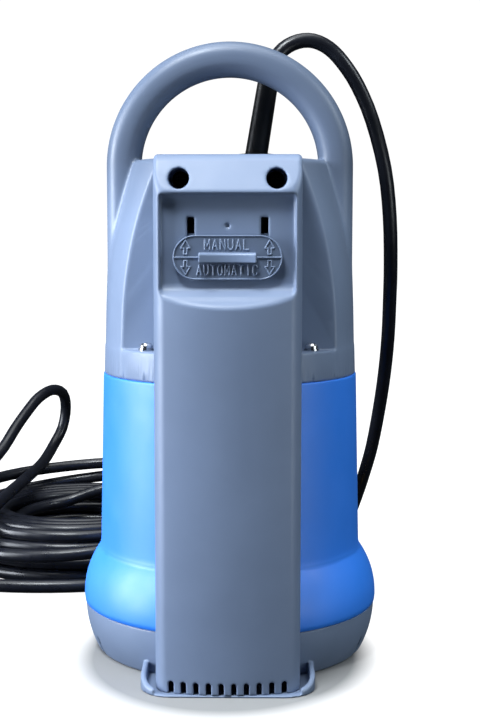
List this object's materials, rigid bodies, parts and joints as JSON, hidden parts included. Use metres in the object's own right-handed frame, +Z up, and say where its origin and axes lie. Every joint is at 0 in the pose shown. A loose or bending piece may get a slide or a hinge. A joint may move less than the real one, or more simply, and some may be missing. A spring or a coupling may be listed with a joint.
{
  "type": "submersible drainage pump",
  "caption": "Submersible sump pump: blue body on a slotted base, grey cap with arched handle, enclosed float column with mode slider, discharge elbow and coiled mains lead.",
  "frame": {"origin": "centre of the pump's base, on the shaft's axis, at the floor", "axes": "+Z up along the shaft; the float column faces -Y and the discharge port faces +Y; +X is to the right seen from the column's side"},
  "size_m": [0.3372, 0.426, 0.3506],
  "materials": {
    "grey_plastic": "satin moulded",
    "column_plastic": "satin moulded",
    "slider_plastic": "satin moulded",
    "blue_plastic": "satin moulded",
    "black_plastic": "moulded",
    "white_plastic": "moulded",
    "orange_plastic": "moulded",
    "black_rubber": "matt",
    "steel": "bright",
    "shaft_steel": "ground",
    "core_steel": "laminated",
    "copper": "enamelled wire",
    "aluminium": "die-cast",
    "ceramic": "lapped",
    "magnet": "ferrite",
    "glass": "clear",
    "brass": "nickel-plated"
  },
  "bodies": {
    "pump": {"strainer_base": "grey_plastic", "base_screws": "steel", "suction_plate": "black_plastic", "suction_plate_screws": "steel", "body_shell": "blue_plastic", "cap_gasket": "black_rubber", "top_cap": "grey_plastic", "cap_screws": "steel", "cap_washers": "steel", "motor_can": "steel", "lower_bracket": "aluminium", "upper_bracket": "aluminium", "stator_core": "core_steel", "stator_windings": "copper", "lower_bearing": "shaft_steel", "upper_bearing": "shaft_steel", "seal_seat": "ceramic", "run_capacitor": "white_plastic", "terminal_block": "white_plastic", "float_cover": "column_plastic", "float_cover_screws": "shaft_steel", "float_back_plate": "grey_plastic", "switch_pod": "black_plastic", "pod_seal": "black_rubber", "pod_nut": "black_plastic", "reed_switches": "glass", "gland_nut": "black_plastic", "cord_boot": "black_rubber", "cord_clamp": "black_plastic", "cord_clamp_screws": "steel", "discharge_seal": "black_rubber", "union_nut": "black_plastic", "discharge_elbow": "black_plastic", "hose_tail": "black_plastic", "power_cord": "black_rubber", "cord_coil": "black_rubber", "cord_end": "black_rubber", "plug_body": "black_rubber", "plug_pins": "brass"},
    "rotor": {"rotor_core": "core_steel", "motor_shaft": "shaft_steel", "impeller": "white_plastic", "impeller_nut": "brass", "seal_spring": "shaft_steel"},
    "float": {"float_shell": "orange_plastic", "float_lid": "orange_plastic", "float_magnet": "magnet"},
    "slider": {"mode_slider": "slider_plastic", "slider_clip": "slider_plastic", "slider_magnet": "magnet"}
  },
  "joints": [
    {"name": "rotor_spin", "type": "hinge", "parent": "pump", "child": "rotor", "pos_m": [0, 0, 0.1], "axis": [0, 0, 1], "continuous": true},
    {"name": "float_rise", "type": "slide", "parent": "pump", "child": "float", "axis": [0, 0, 1], "range_m": [0, 0.07]},
    {"name": "mode_slide", "type": "slide", "parent": "pump", "child": "slider", "axis": [0, 0, 1], "range_m": [0, 0.009]}
  ]
}
